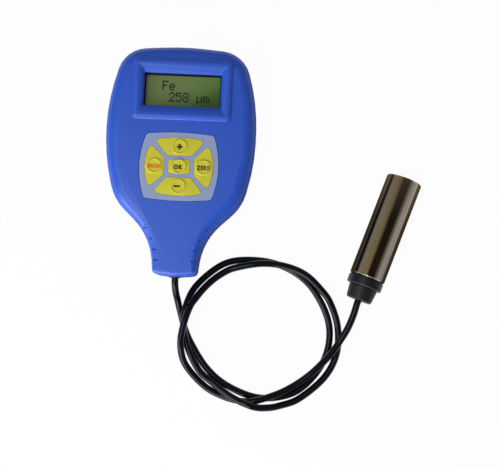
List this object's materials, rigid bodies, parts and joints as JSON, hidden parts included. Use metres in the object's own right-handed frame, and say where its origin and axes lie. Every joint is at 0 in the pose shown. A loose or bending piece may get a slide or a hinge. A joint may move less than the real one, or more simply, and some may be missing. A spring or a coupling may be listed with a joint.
{
  "type": "coating thickness gauge",
  "caption": "Hand-held coating thickness gauge: wide case with a display and sprung keys on a narrow grip neck, and a cylindrical spring-tipped probe on a coiled lead.",
  "frame": {"origin": "on the back of the case, halfway along and across it: the back is z = 0", "axes": "+X to the right seen from the front, +Y along the case towards the display end, +Z out of the front"},
  "size_m": [0.1635, 0.1846, 0.0252],
  "materials": {
    "case_blue": "fine satin moulded plastic",
    "pad": "satin printed film",
    "key_yellow": "satin printed film",
    "clear_window": "clear polished sheet",
    "display": "olive-green display glass",
    "black_steel": "black-painted sheet steel",
    "board": "green circuit board",
    "black_plastic": "moulded black plastic",
    "white_plastic": "moulded white plastic",
    "battery_jacket": "plain printed jacket",
    "steel": "bright steel",
    "rubber": "matt moulded rubber",
    "lead": "glossy extruded jacket",
    "collar": "dark satin plastic",
    "chrome": "polished chrome plate",
    "hard_tip": "polished hard metal",
    "copper": "enamelled copper winding"
  },
  "bodies": {
    "gauge": {"front_case": "case_blue", "back_case": "case_blue", "display_window": "clear_window", "display_glass": "display", "display_frame": "black_steel", "display_board": "board", "board_header": "black_plastic", "keypad_overlay": "pad", "switch_plus": "black_plastic", "switch_minus": "black_plastic", "switch_power": "black_plastic", "switch_zero": "black_plastic", "switch_middle": "black_plastic", "main_board": "board", "controller_chip": "black_plastic", "amplifier_chip": "black_plastic", "buzzer": "black_plastic", "battery_1": "battery_jacket", "battery_2": "battery_jacket", "battery_plate_1": "steel", "battery_plate_2": "steel", "battery_spring_1": "steel", "battery_spring_2": "steel", "case_screw_1": "steel", "case_screw_2": "steel", "case_screw_3": "steel", "case_screw_4": "steel", "board_screw_1": "steel", "board_screw_2": "steel", "board_screw_3": "steel", "board_screw_4": "steel", "lead_grommet": "rubber", "lead_clamp": "black_plastic", "clamp_screw_1": "steel", "clamp_screw_2": "steel", "probe_lead": "lead", "probe_boot": "rubber", "probe_collar": "collar", "probe_sleeve": "chrome", "probe_bush": "collar", "probe_coil": "copper", "probe_spring": "steel"},
    "plus_key": {"key_plus": "key_yellow", "plunger_plus": "white_plastic"},
    "minus_key": {"key_minus": "key_yellow", "plunger_minus": "white_plastic"},
    "power_key": {"key_power": "key_yellow", "plunger_power": "white_plastic"},
    "zero_key": {"key_zero": "key_yellow", "plunger_zero": "white_plastic"},
    "middle_key": {"key_middle": "key_yellow", "plunger_middle": "white_plastic"},
    "door": {"battery_door": "case_blue"},
    "plunging_tip": {"probe_core": "steel", "probe_tip": "hard_tip"}
  },
  "joints": [
    {"name": "press_plus", "type": "slide", "parent": "gauge", "child": "plus_key", "axis": [0, 0, -1], "range_m": [0, 0.0004], "stiffness_N_per_m": 300, "springref_m": -0.0005},
    {"name": "press_minus", "type": "slide", "parent": "gauge", "child": "minus_key", "axis": [0, 0, -1], "range_m": [0, 0.0004], "stiffness_N_per_m": 300, "springref_m": -0.0005},
    {"name": "press_power", "type": "slide", "parent": "gauge", "child": "power_key", "axis": [0, 0, -1], "range_m": [0, 0.0004], "stiffness_N_per_m": 300, "springref_m": -0.0005},
    {"name": "press_zero", "type": "slide", "parent": "gauge", "child": "zero_key", "axis": [0, 0, -1], "range_m": [0, 0.0004], "stiffness_N_per_m": 300, "springref_m": -0.0005},
    {"name": "press_middle", "type": "slide", "parent": "gauge", "child": "middle_key", "axis": [0, 0, -1], "range_m": [0, 0.0004], "stiffness_N_per_m": 300, "springref_m": -0.0005},
    {"name": "door_slide", "type": "slide", "parent": "gauge", "child": "door", "axis": [0, -1, 0], "range_m": [0, 0.006]},
    {"name": "tip_press", "type": "slide", "parent": "gauge", "child": "plunging_tip", "axis": [-0.3289, -0.9444, 0], "range_m": [0, 0.0012], "stiffness_N_per_m": 250, "springref_m": -0.002, "deforming": ["probe_spring"]}
  ]
}
